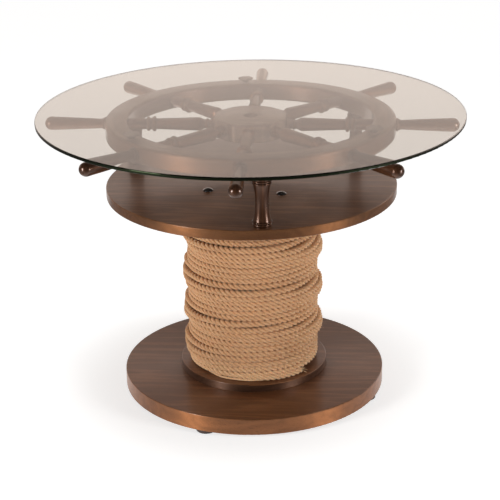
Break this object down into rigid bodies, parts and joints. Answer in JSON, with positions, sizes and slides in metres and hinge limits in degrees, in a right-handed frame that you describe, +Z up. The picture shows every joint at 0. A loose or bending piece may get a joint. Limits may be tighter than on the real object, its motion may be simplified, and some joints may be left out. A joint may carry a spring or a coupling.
{
  "type": "ship wheel coffee table",
  "caption": "Round glass-topped coffee table: a turned ship's wheel on posts over a round shelf, on a rope-wound drum pedestal and a disc base.",
  "frame": {"origin": "centre of the circle that the feet stand on, at floor level, on the table's axis", "axes": "+Z up along the table's axis; +X and +Y along two of the wheel's spokes"},
  "size_m": [0.8, 0.8, 0.5531],
  "materials": {
    "tinted_glass": "clear float glass with a slight bronze tint and a ground, polished edge",
    "rest_vinyl": "smooth dark vinyl",
    "wheel_wood": "turned hardwood, dark mahogany stain, gloss lacquer",
    "board_wood": "veneered board, brown stain, satin lacquer",
    "core_wood": "bare plywood and beech",
    "jute_rope": "twisted jute, three strands",
    "black_steel": "black oxide, smooth domed heads",
    "zinc_steel": "bright zinc",
    "foot_rubber": "matt rubber, very dark brown"
  },
  "bodies": {
    "table": {"glass_rest_1": "rest_vinyl", "glass_rest_2": "rest_vinyl", "glass_rest_3": "rest_vinyl", "wheel_rim": "wheel_wood", "wheel_hub": "wheel_wood", "spoke_1": "wheel_wood", "spoke_2": "wheel_wood", "spoke_3": "wheel_wood", "spoke_4": "wheel_wood", "spoke_5": "wheel_wood", "spoke_6": "wheel_wood", "spoke_7": "wheel_wood", "spoke_8": "wheel_wood", "handle_1": "wheel_wood", "handle_2": "wheel_wood", "handle_3": "wheel_wood", "handle_4": "wheel_wood", "handle_5": "wheel_wood", "handle_6": "wheel_wood", "handle_7": "wheel_wood", "handle_8": "wheel_wood", "post_1": "wheel_wood", "post_2": "wheel_wood", "post_3": "wheel_wood", "shelf": "board_wood", "spool_flange": "board_wood", "base": "board_wood", "drum_tube": "core_wood", "drum_top_end": "core_wood", "drum_bottom_end": "core_wood", "post_dowels": "core_wood", "rope_winding": "jute_rope", "rope_undercord": "jute_rope", "shelf_bolts": "black_steel", "base_bolts": "black_steel", "post_screws": "zinc_steel", "shelf_nuts": "zinc_steel", "base_nuts": "zinc_steel", "foot_screws": "zinc_steel", "foot_1": "foot_rubber", "foot_2": "foot_rubber", "foot_3": "foot_rubber", "foot_4": "foot_rubber"},
    "glass": {"glass_top": "tinted_glass"}
  },
  "joints": [
    {"name": "glass_lift", "type": "slide", "parent": "table", "child": "glass", "axis": [0, 0, 1], "range_m": [0, 0.15]}
  ]
}
